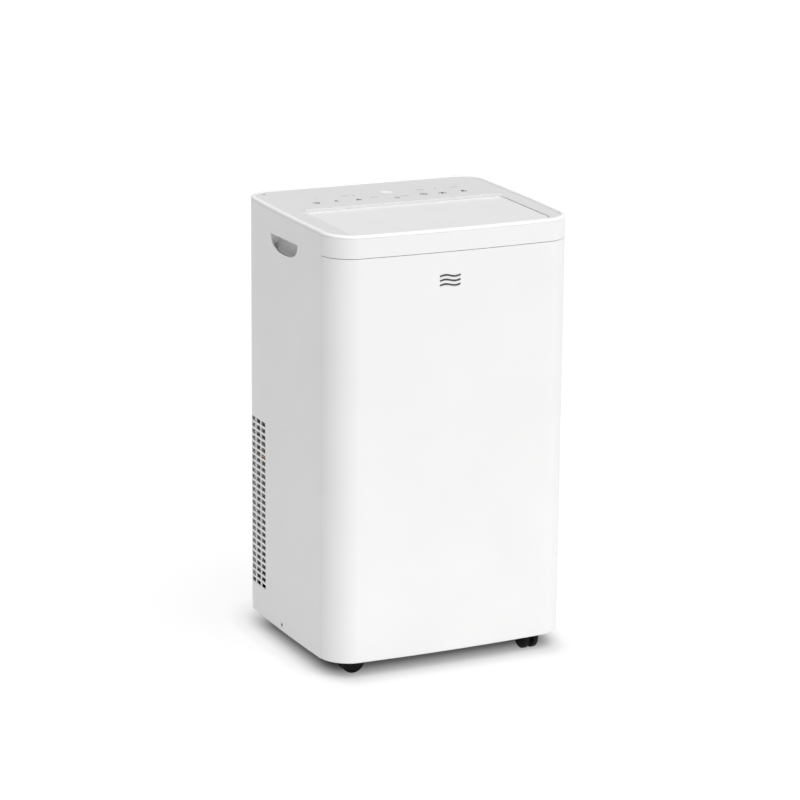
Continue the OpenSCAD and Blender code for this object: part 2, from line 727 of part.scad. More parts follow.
// Drier, restrictor coil (as one sleeve) and the thin line up to the evaporator.
coil_r = 14;
module capillary_tube() {
    liquid = coil_end(condenser_at, condenser, 1, 9);
    cool = coil_end(evaporator_at, evaporator, 1, 7);
    drier = [-194, 84, 360];
    top = drier + [coil_r, 0, 50];
    color(copper) {
        translate(drier + [0, 0, 40]) tube(coil_r + 2, coil_r - 2, 15);
        translate(drier) cylinder(r = 8, h = 32);
        pipe([drier + [0, 0, 31], drier + [0, 0, 37], drier + [coil_r, 0, 37], drier + [coil_r, 0, 44]], 1.5);
        pipe([top, [top[0], top[1], 600], [top[0], cool[1], 640],
              [top[0], cool[1], cool[2]], cool], 1.5);
        pipe([liquid, [drier[0], liquid[1], liquid[2]], [drier[0], drier[1], liquid[2]],
              drier + [0, 0, 1]], 3);
    }
}

// ---------------------------------------------------------------- fans
// Scroll radius grows from the tongue round to the throat.
function scroll_r(r0, a) = r0 * (1 + 0.42 * a / 300);
function scroll(r0, top, inset) = concat(
    [for (a = [0:15:300]) let (r = scroll_r(r0, a) - inset) [r * cos(60 + a), r * sin(60 + a)]],
    [[scroll_r(r0, 300) - inset, top], [r0 * 0.5 + inset, top], [r0 * 0.5 + inset, r0 * 0.87 - inset]]);

module fan_housing(r0, top, width, inlet_r, shaft_r, foot) {
    difference() {
        union() {
            linear_extrude(width) polygon(scroll(r0, top, 0));
            for (x = [-0.45, 0.6]) translate([x * r0 - 4, -foot, 0]) cube([8, foot - r0, width]);
        }
        translate([0, 0, 2]) linear_extrude(width - 4) polygon(scroll(r0, top + 1, 2));
        translate([0, 0, -1]) cylinder(r = inlet_r, h = 4);
        translate([0, 0, width - 4]) cylinder(r = shaft_r, h = 6);
    }
}
module fan_wheel(r, width, blades) {
    cylinder(r = r, h = 2);
    translate([0, 0, width - 3]) tube(r, r - 14, 3);
    cylinder(r = 12, h = 20);
    linear_extrude(width - 1) for (i = [0:blades - 1]) rotate(i * 360 / blades)
        translate([r - 7.5, 0]) rotate(32) square([13, 1.4], center = true);
}
lower_fan = [72, 216];
upper_fan = [-52, 588];
lower_fan_y = 64;
upper_fan_y = -30;
lower_fan_w = 78;
upper_fan_w = 84;

// The housing's local +Z points to the front, so the inlet faces the coil behind it.
module at_fan(c, y) { translate([c[0], y, c[1]]) rotate([90, 0, 0]) children(); }

module lower_fan_housing() {
    color("#c8c8c6") at_fan(lower_fan, lower_fan_y)
        fan_housing(88, 116, lower_fan_w, 62, 14, lower_fan[1] - pan_z0 - 3);
}
module lower_fan_wheel() {
    color("#8d9194") at_fan(lower_fan, lower_fan_y) {
        translate([0, 0, lower_fan_w - 7]) mirror([0, 0, 1]) fan_wheel(78, 64, 30);
        translate([0, 0, lower_fan_w - 7]) cylinder(r = 4, h = 44);
    }
}
module fan_motor(width, r) {
    difference() {
        union() {
            cylinder(r = r, h = width);
            translate([0, 0, -6.5]) cylinder(r = 22, h = 7);
        }
        translate([0, 0, -10]) cylinder(r = 4.1, h = width + 4);
        translate([0, 0, -10]) cylinder(r = 14, h = 8);
    }
}
module lower_fan_motor() {
    color(steel) at_fan(lower_fan, lower_fan_y) translate([0, 0, lower_fan_w + 6.5]) fan_motor(46, 42);
}
module upper_fan_housing() {
    color("#c8c8c6") at_fan(upper_fan, upper_fan_y)
        fan_housing(72, 88, upper_fan_w, 52, 14, upper_fan[1] - tray_z - 3);
}
module upper_fan_wheel() {
    color("#8d9194") at_fan(upper_fan, upper_fan_y) {
        translate([0, 0, upper_fan_w - 7]) mirror([0, 0, 1]) fan_wheel(64, 70, 26);
        translate([0, 0, upper_fan_w - 7]) cylinder(r = 4, h = 34);
    }
}
module upper_fan_motor() {
    color(steel) at_fan(upper_fan, upper_fan_y) translate([0, 0, upper_fan_w + 6.5]) fan_motor(36, 40);
}

slinger_at = [92, 84, 70];
module slinger_wheel() {
    color("#8d9194") translate(slinger_at) rotate([90, 0, 0]) {
        cylinder(r = 24, h = 3);
        for (a = [0:30:330]) rotate([0, 0, a]) translate([22, -3, 0]) cube([8, 6, 3]);
        cylinder(r = 3, h = 16);
    }
}
module slinger_motor() {
    color(steel) translate(slinger_at + [0, -8, 0]) difference() {
        union() {
            rotate([90, 0, 0]) cylinder(r = 22, h = 24);
            translate([-16, -24, pan_z0 + 3 - slinger_at[2]]) cube([32, 24, 22]);
        }
        translate([0, 1, 0]) rotate([90, 0, 0]) cylinder(r = 3.1, h = 12);
    }
}
module float_switch() {
    color("#e8e6d8") translate([float_at[0], float_at[1], pan_z0 + 4]) tube(11, 2.6, 16);
}

// ---------------------------------------------------------------- inner walls, duct and electrics
tray_z = 490;
module divider_tray() {
    color("#d4d4d2") difference() {
        union() {
            translate([0, 0, tray_z]) linear_extrude(3) body_plan(wall + 0.5);
            difference() {
                translate([-165, 96, tray_z]) cube([330, 78, 18]);
                translate([-162.5, 98.5, tray_z + 3]) cube([325, 73, 40]);
            }
            translate([drain_upper[0], y_back - 20, drain_upper[1]]) along_y(spout_r, 19.8);
        }
        translate([drain_upper[0], y_back - 40, drain_upper[1]]) along_y(plug_r + 0.1, 60);
        translate([-204, 48, tray_z - 1]) cube([30, 44, 10]);
        for (s = rear_screws) translate([s[0], y_back - 20, s[1]]) along_y(screw_hole, 30);
    }
}

// Box duct from the lower scroll's throat back to the collar.
module exhaust_duct() {
    color("#c8c8c6") difference() {
        translate([-84, -20, 332]) cube([278, 174, tray_z - 332]);
        translate([-81.5, -17.5, 334.5]) cube([273, 169, tray_z - 337]);
        translate([118, -12, 330]) cube([70, 74, 10]);
        translate([0, 130, collar_z]) along_y(collar_r - 3, 40);
    }
}

module control_box() {
    color("#2c2d2f") {
        difference() {
            translate([-200, -168, 330]) cube([150, 70, tray_z - 330]);
            translate([-197.5, -165.5, 332.5]) cube([145, 70, tray_z - 335]);
        }
        for (x = [-184, -66], z = [348, 452]) translate([x, -166, z]) along_y(3, 8);
    }
}
module main_board() {
    color("#1f6b45") translate([-190, -158, 342]) cube([130, 2, 116]);
    color("#202020") {
        translate([-180, -156.2, 352]) cube([34, 30, 30]);
        translate([-130, -156.2, 352]) cube([24, 18, 16]);
        translate([-96, -156.2, 352]) cube([20, 16, 20]);
        translate([-160, -156.2, 425]) along_y(12, 36);
        translate([-120, -156.2, 425]) along_y(9, 26);
    }
}

front_panel();
upper_front_band();
side_panel_left();
side_panel_right();
rear_panel();
top_rim();
top_deck();
control_board();
power_button();
handle_left();
handle_right();
flap();
flap_motor();
outlet_duct();
vane_link();
intake_grille();
intake_filter();
exhaust_collar();
lower_drain_plug();
upper_drain_plug();
cable_gland();
panel_screws();
base_pan();
castor_sockets();
divider_tray();
exhaust_duct();
compressor();
accumulator();
compressor_grommets();
condenser_fins();
condenser_tubes();
evaporator_fins();
evaporator_tubes();
lower_fan_housing();
lower_fan_wheel();
lower_fan_motor();
upper_fan_housing();
upper_fan_wheel();
upper_fan_motor();
slinger_wheel();
slinger_motor();
refrigerant_pipes();
capillary_tube();
control_box();
main_board();
float_switch();
for (i = [1:vane_count]) vane(i);
for (i = [1:4]) {
    castor_fork(i - 1);
    castor_wheels(i - 1);
}
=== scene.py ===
"""Portable air conditioner: looks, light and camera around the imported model."""
import json
import math

import bmesh
import bpy
from mathutils import Matrix, Vector


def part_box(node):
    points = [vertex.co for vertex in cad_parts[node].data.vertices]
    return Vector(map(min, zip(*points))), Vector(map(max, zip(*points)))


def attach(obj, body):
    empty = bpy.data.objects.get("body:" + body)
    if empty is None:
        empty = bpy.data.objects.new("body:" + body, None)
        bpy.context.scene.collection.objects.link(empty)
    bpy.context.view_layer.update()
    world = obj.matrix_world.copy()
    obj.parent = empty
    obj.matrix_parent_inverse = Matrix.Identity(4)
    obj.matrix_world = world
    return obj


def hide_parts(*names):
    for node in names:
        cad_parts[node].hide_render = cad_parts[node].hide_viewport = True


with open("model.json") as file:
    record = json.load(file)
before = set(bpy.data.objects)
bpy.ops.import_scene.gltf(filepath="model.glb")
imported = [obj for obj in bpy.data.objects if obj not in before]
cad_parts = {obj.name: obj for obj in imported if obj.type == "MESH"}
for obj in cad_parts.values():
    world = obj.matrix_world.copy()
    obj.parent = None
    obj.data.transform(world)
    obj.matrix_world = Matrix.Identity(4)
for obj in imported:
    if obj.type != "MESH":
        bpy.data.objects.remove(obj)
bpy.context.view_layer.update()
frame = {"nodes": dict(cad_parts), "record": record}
NODES = frame["nodes"]
MM = 0.001

# ------------------------------------------------------------------ camera
AIM = Vector((-0.0045, 0.0072, 0.4039))
AZIMUTH = math.radians(-25.905)
ELEVATION = math.radians(14.839)
ROLL = math.radians(0.498)
DISTANCE = 5.105
LENS = 137.5


def make_camera():
    """Camera on a sphere round the aim point; azimuth 0 looks along +Y."""
    data = bpy.data.cameras.new("camera")
    data.sensor_width = 36.0
    data.lens = LENS
    data.clip_end = 100.0
    camera = bpy.data.objects.new("camera", data)
    away = Vector((
        math.sin(AZIMUTH) * math.cos(ELEVATION),
        -math.cos(AZIMUTH) * math.cos(ELEVATION),
        math.sin(ELEVATION),
    ))
    turn = (-away).to_track_quat("-Z", "Y").to_matrix().to_4x4()
    place = Matrix.Translation(AIM + DISTANCE * away)
    camera.matrix_world = place @ turn @ Matrix.Rotation(ROLL, 4, "Z")
    bpy.context.scene.collection.objects.link(camera)
    bpy.context.scene.camera = camera


# ------------------------------------------------------------------ shape of the body in plan
CORNER_R = 45 * MM
BOW_FRONT = 8 * MM
BOW_SIDE = 4 * MM
WALL = 2.5 * MM
SEAM = 0.8 * MM
RIM_WIDTH = 8 * MM
RIM_EDGE = 4.4 * MM
RIM_RISE = 8 * MM
CORNER_PARTS = 16
STRAIGHT_STEP = 12 * MM

RIM_LOW, RIM_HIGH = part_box("top_rim")
BODY_W = RIM_HIGH.x - RIM_LOW.x
BODY_D = RIM_HIGH.y - RIM_LOW.y
PLAN_W = BODY_W - 2 * BOW_SIDE
PLAN_D = BODY_D - BOW_FRONT
PLAN_Y = RIM_LOW.y + BOW_FRONT + PLAN_D / 2
RIM_SLOPE = RIM_RISE / BODY_D
FRONT_H = RIM_HIGH.z - RIM_RISE
QUARTER = CORNER_R * math.pi / 2
FRONT_RUN = PLAN_W - 2 * CORNER_R
SIDE_RUN = PLAN_D - 2 * CORNER_R
RUNS = [QUARTER, FRONT_RUN, QUARTER, SIDE_RUN, QUARTER, FRONT_RUN, QUARTER, SIDE_RUN]


def rim_z(y):
    """Height of the sloping rim plane over a place in the body."""
    return FRONT_H + (y - RIM_LOW.y) * RIM_SLOPE


def bowed(x, y):
    """A point of the rounded rectangle, moved out by the bow of the front and sides."""
    side = BOW_SIDE * (1 - (2 * y / PLAN_D) ** 2) * abs(2 * x / PLAN_W) ** 3
    front = BOW_FRONT * (1 - (2 * x / PLAN_W) ** 2) * max(0.0, -2 * y / PLAN_D) ** 3
    return x + math.copysign(side, x), y - front + PLAN_Y


def outline(run, inset):
    """Point of the plan at a distance round it, from the left end of the front, anticlockwise."""
    cx, cy = PLAN_W / 2 - CORNER_R, PLAN_D / 2 - CORNER_R
    corners = [(-cx, -cy, 180), (cx, -cy, 270), (cx, cy, 0), (-cx, cy, 90)]
    run %= sum(RUNS)
    for i, length in enumerate(RUNS):
        if run <= length or i == len(RUNS) - 1:
            break
        run -= length
    r = CORNER_R - inset
    if i % 2 == 0:
        x, y, start = corners[i // 2]
        a = math.radians(start) + run / CORNER_R
        return bowed(x + r * math.cos(a), y + r * math.sin(a))
    x0, y0, start = corners[i // 2]
    x1, y1, _ = corners[(i // 2 + 1) % 4]
    a = math.radians(start + 90)
    t = run / length
    return bowed(x0 + (x1 - x0) * t + r * math.cos(a), y0 + (y1 - y0) * t + r * math.sin(a))


def stations(start, end):
    """Distances round the plan between two ends, close together in the corners."""
    found = [start]
    edge = 0.0
    for i, length in enumerate(RUNS):
        parts = CORNER_PARTS if i % 2 == 0 else max(2, round(length / STRAIGHT_STEP))
        for k in range(parts + 1):
            place = edge + length * k / parts
            if found[-1] + 0.1 * MM < place < end - 0.1 * MM:
                found.append(place)
        edge += length
    return found + [end]


# ------------------------------------------------------------------ materials
def shader(name):
    """A new material, its nodes and its Principled shader."""
    material = bpy.data.materials.new(name)
    material.use_nodes = True
    tree = material.node_tree
    return material, tree, tree.nodes["Principled BSDF"]


def noise(tree, scale, detail=3.0, stretch=(1, 1, 1)):
    """Noise over object coordinates, stretched along the axes."""
    place = tree.nodes.new("ShaderNodeTexCoord")
    mapping = tree.nodes.new("ShaderNodeMapping")
    mapping.inputs["Scale"].default_value = stretch
    texture = tree.nodes.new("ShaderNodeTexNoise")
    texture.inputs["Scale"].default_value = scale
    texture.inputs["Detail"].default_value = detail
    tree.links.new(place.outputs["Object"], mapping.inputs["Vector"])
    tree.links.new(mapping.outputs["Vector"], texture.inputs["Vector"])
    return texture


def ramp(tree, source, low, high, start=0.3, end=0.7):
    """Colour ramp between two colours, driven by a texture's value."""
    node = tree.nodes.new("ShaderNodeValToRGB")
    node.color_ramp.elements[0].position = start
    node.color_ramp.elements[0].color = (*low, 1)
    node.color_ramp.elements[1].position = end
    node.color_ramp.elements[1].color = (*high, 1)
    tree.links.new(source.outputs["Fac"], node.inputs["Fac"])
    return node


def spread(tree, source, low, high):
    """Map a texture's value to a range."""
    node = tree.nodes.new("ShaderNodeMapRange")
    node.inputs["To Min"].default_value = low
    node.inputs["To Max"].default_value = high
    tree.links.new(source.outputs["Fac"], node.inputs["Value"])
    return node


def bump(tree, bsdf, source, depth, strength=1.0):
    """Bump of a depth in metres from a texture's value."""
    node = tree.nodes.new("ShaderNodeBump")
    node.inputs["Strength"].default_value = strength
    node.inputs["Distance"].default_value = depth
    tree.links.new(source.outputs["Fac"], node.inputs["Height"])
    tree.links.new(node.outputs["Normal"], bsdf.inputs["Normal"])


def moulded(name, colour, roughness, grain=900.0, depth=0.02 * MM, uneven=0.012, shine=0.5):
    """Moulded plastic: faint large-scale shade, grain in the gloss, and a fine moulded skin."""
    material, tree, bsdf = shader(name)
    low = tuple(c * (1 - uneven) for c in colour)
    high = tuple(min(1.0, c * (1 + uneven)) for c in colour)
    shade = ramp(tree, noise(tree, 9.0), low, high)
    tree.links.new(shade.outputs["Color"], bsdf.inputs["Base Color"])
    gloss = spread(tree, noise(tree, 60.0, 4.0), roughness - 0.05, roughness + 0.05)
    tree.links.new(gloss.outputs["Result"], bsdf.inputs["Roughness"])
    bump(tree, bsdf, noise(tree, grain, 2.0), depth)
    bsdf.inputs["Specular IOR Level"].default_value = shine
    return material


def metal(name, colour, roughness, stretch=(1, 1, 30)):
    """Metal with fine drawn or brushed lines and uneven gloss."""
    material, tree, bsdf = shader(name)
    bsdf.inputs["Metallic"].default_value = 1.0
    low = tuple(c * 0.88 for c in colour)
    high = tuple(min(1.0, c * 1.08) for c in colour)
    shade = ramp(tree, noise(tree, 25.0, 5.0), low, high)
    tree.links.new(shade.outputs["Color"], bsdf.inputs["Base Color"])
    lines = noise(tree, 80.0, 4.0, stretch)
    gloss = spread(tree, lines, roughness - 0.08, roughness + 0.1)
    tree.links.new(gloss.outputs["Result"], bsdf.inputs["Roughness"])
    bump(tree, bsdf, lines, 0.02 * MM)
    return material


def woven(name, colour, pitch):
    """Woven nylon: two crossed bands of thread."""
    material, tree, bsdf = shader(name)
    place = tree.nodes.new("ShaderNodeTexCoord")
    threads = []
    for axis in ("X", "Z"):
        wave = tree.nodes.new("ShaderNodeTexWave")
        wave.bands_direction = axis
        wave.inputs["Scale"].default_value = 1 / pitch / 20
        tree.links.new(place.outputs["Object"], wave.inputs["Vector"])
        threads.append(wave)
    cross = tree.nodes.new("ShaderNodeMath")
    cross.operation = "MAXIMUM"
    for k, wave in enumerate(threads):
        tree.links.new(wave.outputs["Fac"], cross.inputs[k])
    shade = tree.nodes.new("ShaderNodeValToRGB")
    shade.color_ramp.elements[0].color = (*[c * 0.25 for c in colour], 1)
    shade.color_ramp.elements[1].color = (*colour, 1)
    tree.links.new(cross.outputs["Value"], shade.inputs["Fac"])
    tree.links.new(shade.outputs["Color"], bsdf.inputs["Base Color"])
    node = tree.nodes.new("ShaderNodeBump")
    node.inputs["Distance"].default_value = 0.2 * MM
    tree.links.new(cross.outputs["Value"], node.inputs["Height"])
    tree.links.new(node.outputs["Normal"], bsdf.inputs["Normal"])
    bsdf.inputs["Roughness"].default_value = 0.7
    return material


SHELL_WHITE = (0.885, 0.88, 0.878)
DECK_GREY = (0.70, 0.70, 0.70)
FLAP_GREY = (0.77, 0.77, 0.77)

NEAR_BLACK = (0.012, 0.012, 0.013)
CASTOR_BLACK = (0.007, 0.007, 0.008)

MATERIALS = {
    "white_shell": moulded("white_shell", SHELL_WHITE, 0.34),
    "deck": moulded("deck", DECK_GREY, 0.42),
    "flap": moulded("flap", FLAP_GREY, 0.40),
    "air_parts": moulded("air_parts", (0.62, 0.62, 0.61), 0.5),
    "black_plastic": moulded("black_plastic", NEAR_BLACK, 0.5, 700.0, 0.05 * MM, 0.2, 0.2),
    "black_rubber": moulded("black_rubber", (0.018, 0.018, 0.018), 0.72, 500.0, 0.06 * MM, 0.2),
    "castor_black": moulded("castor_black", CASTOR_BLACK, 0.5, 600.0, 0.02 * MM, 0.2, 0.14),
    "mesh": woven("mesh", (0.07, 0.075, 0.08), 1.2 * MM),
    "steel": metal("steel", (0.55, 0.56, 0.57), 0.34),
    "black_steel": moulded("black_steel", (0.015, 0.015, 0.016), 0.28, 300.0, 0.05 * MM, 0.2),
    "copper": metal("copper", (0.72, 0.36, 0.20), 0.28),
    "fins": metal("fins", (0.75, 0.77, 0.79), 0.36, (1, 1, 8)),
    "inner_plastic": moulded("inner_plastic", (0.58, 0.58, 0.57), 0.5),
    "board_green": moulded("board_green", (0.015, 0.10, 0.045), 0.36, 400.0, 0.05 * MM, 0.1),
    "float_cream": moulded("float_cream", (0.78, 0.76, 0.64), 0.45),
}
PRINT_GREY = moulded("print_grey", (0.34, 0.34, 0.35), 0.45)
PRINT_DARK = moulded("print_dark", (0.08, 0.08, 0.085), 0.45)
BADGE_GREY = moulded("badge_grey", (0.075, 0.075, 0.08), 0.3)


# ------------------------------------------------------------------ mesh tools
def new_piece(name, vertices, faces, material, body, edge=0.0, segments=3):
    """A mesh piece on a body, smooth shaded, with its sharp edges rounded when an edge width is
    given.
    """
    mesh = bpy.data.meshes.new(name)
    mesh.from_pydata(vertices, [], faces)
    build = bmesh.new()
    build.from_mesh(mesh)
    bmesh.ops.remove_doubles(build, verts=build.verts, dist=1e-6)
    bmesh.ops.recalc_face_normals(build, faces=build.faces)
    build.to_mesh(mesh)
    build.free()
    mesh.materials.append(material)
    piece = bpy.data.objects.new(name, mesh)
    bpy.context.scene.collection.objects.link(piece)
    smooth(piece, edge, segments)
    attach(piece, body)
    return piece


def smooth(piece, edge, segments=2, angle=32):
    """Smooth shading, with real rounds on the sharp edges."""
    for polygon in piece.data.polygons:
        polygon.use_smooth = True
    if edge > 0:
        bevel = piece.modifiers.new("rounds", "BEVEL")
        bevel.limit_method = "ANGLE"
        bevel.angle_limit = math.radians(angle)
        bevel.width = edge
        bevel.segments = segments
        bevel.miter_outer = "MITER_ARC"
        bevel.use_clamp_overlap = True
    normals = piece.modifiers.new("normals", "WEIGHTED_NORMAL")
    normals.keep_sharp = True
    normals.weight = 80


def dress(node, edge, segments=2, angle=32, material=None):
    """Give a CAD node its material and smooth shading, and, unless it is plain, joined faces and
    rounded edges; its own mesh stays as it is.
    """
    piece = NODES[node]
    slot = next(s["material_slot"] for s in frame["record"]["subparts"] if s["node"] == node)
    piece.data.materials.clear()
    piece.data.materials.append(material or MATERIALS[slot])
    if node in PLAIN:
        for polygon in piece.data.polygons:
            polygon.use_smooth = True
        return
    weld = piece.modifiers.new("weld", "WELD")
    weld.merge_threshold = 2e-6
    flat = piece.modifiers.new("flat", "DECIMATE")
    flat.decimate_type = "DISSOLVE"
    flat.angle_limit = math.radians(0.15)
    smooth(piece, edge, segments, angle)


def panel(name, start, end, rows, replaces):
    """Shell along part of the plan: rows are (height, inset) from the bottom up, and a height
    may be a function of y."""
    places = stations(start, end)
    vertices, faces = [], []
    for skin in (0.0, WALL):
        for run in places:
            for height, inset in rows:
                x, y = outline(run, inset + skin)
                z = height(y) if callable(height) else height
                vertices.append((x, y, z))
    n, m = len(places), len(rows)

    def index(skin, i, j):
        return (skin * n + i) * m + j

    for i in range(n - 1):
        for j in range(m - 1):
            for skin in (0, 1):
                faces.append([index(skin, i, j), index(skin, i + 1, j),
                              index(skin, i + 1, j + 1), index(skin, i, j + 1)])
        for j in (0, m - 1):
            faces.append([index(0, i, j), index(0, i + 1, j), index(1, i + 1, j), index(1, i, j)])
    for i in (0, n - 1):
        for j in range(m - 1):
            faces.append([index(0, i, j), index(0, i, j + 1), index(1, i, j + 1), index(1, i, j)])
    piece = new_piece(name, vertices, faces, MATERIALS["white_shell"], "cabinet", 0.45 * MM)
    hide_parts(replaces)
    return piece


def ring(name, profile, replaces):
    """Closed moulding all round the plan: the profile is (inset, height from the rim plane)."""
    places = stations(0.0, sum(RUNS))[:-1]
    vertices, faces = [], []
    for run in places:
        for inset, rise in profile:
            x, y = outline(run, inset)
            vertices.append((x, y, rim_z(y) + rise))
    n, m = len(places), len(profile)
    for i in range(n):
        for j in range(m):
            k, l = (i + 1) % n, (j + 1) % m
            faces.append([i * m + j, k * m + j, k * m + l, i * m + l])
    piece = new_piece(name, vertices, faces, MATERIALS["white_shell"], "cabinet")
    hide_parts(replaces)
    return piece


def arc(cx, cy, r, start, end, parts):
    """Points of an arc in degrees."""
    angles = [math.radians(start + (end - start) * k / parts) for k in range(parts + 1)]
    return [(cx + r * math.cos(a), cy + r * math.sin(a)) for a in angles]


# ------------------------------------------------------------------ body shells
BAND_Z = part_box("front_panel")[1].z + SEAM / 2
PANEL_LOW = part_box("front_panel")[0].z
FRONT_END = 2 * QUARTER + FRONT_RUN


def front_shells():
    """Big front panel and the band over it."""
    lip = [(PANEL_LOW + h, i) for i, h in reversed(arc(2 * MM, 2 * MM, 2 * MM, 180, 270, 5))]
    rise = (BAND_Z - PANEL_LOW) / 12
    rows = lip + [(PANEL_LOW + rise * k, 0.0) for k in range(1, 12)] + [(BAND_Z - SEAM / 2, 0.0)]
    panel("front_shell", 0.0, FRONT_END, rows, "front_panel")
    top = -RIM_EDGE - 0.2 * MM
    rows = [(BAND_Z + SEAM / 2, 0.0), (BAND_Z + 8 * MM, 0.0), (BAND_Z + 16 * MM, 0.0),
            (lambda y: rim_z(y) + top, 0.0)]
    panel("band_shell", 0.0, FRONT_END, rows, "upper_front_band")


def rim_shell():
    """Rounded rim all round the top."""
    fillet = 4.3 * MM
    lip = 1.2 * MM
    profile = [(0.0, -RIM_EDGE)] + arc(fillet, -fillet, fillet, 180, 90, 8)
    profile += arc(RIM_WIDTH - lip, -lip, lip, 90, 0, 4)
    profile += [(RIM_WIDTH, -14 * MM), (3.2 * MM, -14 * MM), (3.2 * MM, -RIM_EDGE)]
    ring("rim_shell", profile, "top_rim")


def painted_light_step():
    """The step up from the flap to the deck gets the white shell material while the top faces of
    the same deck stay grey: painted light on the step that faces the front.
    """
    deck = NODES["top_deck"]
    deck.data.materials.append(MATERIALS["white_shell"])
    for polygon in deck.data.polygons:
        # Deck faces turned to the front are picked by which way they face and coloured white:
        # painted light.
        spot = deck.matrix_world @ polygon.center
        if polygon.normal.y < -0.7 and 7 * MM < spot.y < 9.5 * MM:
            polygon.material_index = 1


# ------------------------------------------------------------------ marks on the deck and the front
DECK_DROP = 1 * MM
MARK_T = 0.06 * MM


def flat_mark(name, loops, place, material, body="cabinet"):
    """Thin printed mark: closed loops of points, each raised by the thickness of the ink."""
    vertices, faces = [], []
    for loop in loops:
        base = len(vertices)
        count = len(loop)
        for level in (0.0, MARK_T):
            vertices += [place(u, v, level) for u, v in loop]
        faces.append(list(range(base, base + count)))
        faces.append(list(range(base + 2 * count - 1, base + count - 1, -1)))
        for k in range(count):
            l = (k + 1) % count
            faces.append([base + k, base + l, base + count + l, base + count + k])
    piece = new_piece(name, vertices, faces, material, body)
    return piece


def on_deck(x, y):
    """Turns a mark's own millimetres into a place on the sloping deck."""
    def place(u, v, level):
        py = y + v
        return (x + u, py, rim_z(py) - DECK_DROP + level)
    return place


def stroke(points, width, closed=False):
    """A line of some width through points, as quads."""
    loops = []
    pairs = list(zip(points, points[1:] + points[:1])) if closed else list(zip(points, points[1:]))
    for (x0, y0), (x1, y1) in pairs:
        d = Vector((x1 - x0, y1 - y0)).normalized() * width / 2
        n = Vector((-d.y, d.x))
        loops.append([(x0 - d.x + n.x, y0 - d.y + n.y), (x0 - d.x - n.x, y0 - d.y - n.y),
                      (x1 + d.x - n.x, y1 + d.y - n.y), (x1 + d.x + n.x, y1 + d.y + n.y)])
    return loops


def scaled(loops, k):
    return [[(u * k, v * k) for u, v in loop] for loop in loops]


def icon_loops(kind):
    """Plain symbols about 8 mm across, in millimetres."""
    w = 1.1
    if kind == "clock":
        return stroke(arc(0, 0, 4, 0, 345, 23), w, True) + stroke([(0, 2.6), (0, 0), (2, 0)], w)
    if kind == "moon":
        return [arc(0, 0, 4, 70, 290, 14) + arc(2.0, 0, 3.4, 250, 110, 10)]
    if kind == "fan":
        loops = []
        for k in range(3):
            a = math.radians(90 + 120 * k)
            loops.append(arc(2.3 * math.cos(a), 2.3 * math.sin(a), 1.8, 0, 330, 11))
        return loops + [arc(0, 0, 0.9, 0, 330, 11)]
    if kind == "flake":
        loops = []
        for k in range(3):
            c, s = math.cos(math.radians(60 * k)), math.sin(math.radians(60 * k))
            loops += stroke([(-4 * c, -4 * s), (4 * c, 4 * s)], w)
        return loops
    if kind == "swing":
        return stroke([(-4, 2.8), (4, 2.8)], w) + stroke([(-3, 1), (-1.6, -3)], w) + \
            stroke([(0, 1), (0, -3.4)], w) + stroke([(3, 1), (1.6, -3)], w)
    if kind == "power":
        return stroke(arc(0, 0, 3.4, 125, 415, 22), w) + stroke([(0, 0.6), (0, 4.2)], w)
    if kind == "bar":
        return stroke([(-6, 0), (6, 0)], 2.2)
    return [arc(0, 0, 1.8, 0, 330, 11)]


def deck_marks():
    """A row of plain key symbols, a row of lamps and labels behind it, and a dot in the corner."""
    keys = [("swing", -132, 63, 1.5), ("moon", -93, 66, 1.35), ("fan", -57, 62, 1.35),
            ("power", 10, 54, 1.1), ("clock", 63, 63, 1.45), ("flake", 97, 60, 1.75),
            ("fan", 137, 62, 1.5)]
    lamps = [("bar", -67, 96), ("dot", -51, 95), ("bar", -24, 71), ("bar", 28, 62),
             ("bar", 72, 97), ("dot", 100, 95), ("bar", 136, 97), ("dot", -118, 96)]
    # A small dark dot at the inner rear-left corner of the rim, where the rim meets the deck.
    corner = on_deck(-186 * MM, 156 * MM)
    flat_mark("corner_mark", scaled(icon_loops("dot"), 1.2 * MM), corner, PRINT_DARK)
    for k, (kind, x, y, size) in enumerate(keys):
        place = on_deck(x * MM, y * MM)
        flat_mark(f"key_mark_{k}", scaled(icon_loops(kind), size * MM), place, PRINT_DARK)
    for k, (kind, x, y) in enumerate(lamps):
        place = on_deck(x * MM, y * MM)
        flat_mark(f"lamp_mark_{k}", scaled(icon_loops(kind), MM), place, PRINT_GREY)


def front_badge():
    """Plain badge of three rising air lines, bent to the bow of the front."""
    centre = Vector((-14 * MM, 0, 651 * MM))
    width, rise, wave, thick = 34 * MM, 7.4 * MM, 1.5 * MM, 2.6 * MM
    parts = 16

    def place(u, v, level):
        x = centre.x + u
        _, y = bowed(x, -PLAN_D / 2)
        return (x, y - 0.1 * MM - level * 6, centre.z + v)

    loops = []
    for k in range(3):
        line = [(-width / 2 + width * t / parts,
                 (k - 1) * rise + wave * math.sin(t / parts * 2 * math.pi))
                for t in range(parts + 1)]
        loops += stroke(line, thick)
    flat_mark("front_badge", loops, place, BADGE_GREY)


# ------------------------------------------------------------------ stage
SKY = 0.04
FLOOR_SHADE = 0.12
# The floor's glow fades out over SHADOW_IN inside the footprint: a painted shadow under the body.
SHADOW_IN = Vector((0.046, 0.09))
GLOW_NEAR = 0.885
GLOW_FAR = 0.88
WALL_GLOW = 0.45
SUN_POWER = 3.85
SUN_FROM = (0.11, -0.355, 0.92)
SUN_SPREAD = 42.0
LOW_POWER = 2.0


def vector_node(tree, operation, *values):
    """A vector maths node whose inputs are sockets or fixed vectors."""
    node = tree.nodes.new("ShaderNodeVectorMath")
    node.operation = operation
    for k, value in enumerate(values):
        if isinstance(value, tuple):
            node.inputs[k].default_value = value
        else:
            tree.links.new(value, node.inputs[k])
    return node.outputs["Value" if operation == "LENGTH" else "Vector"]


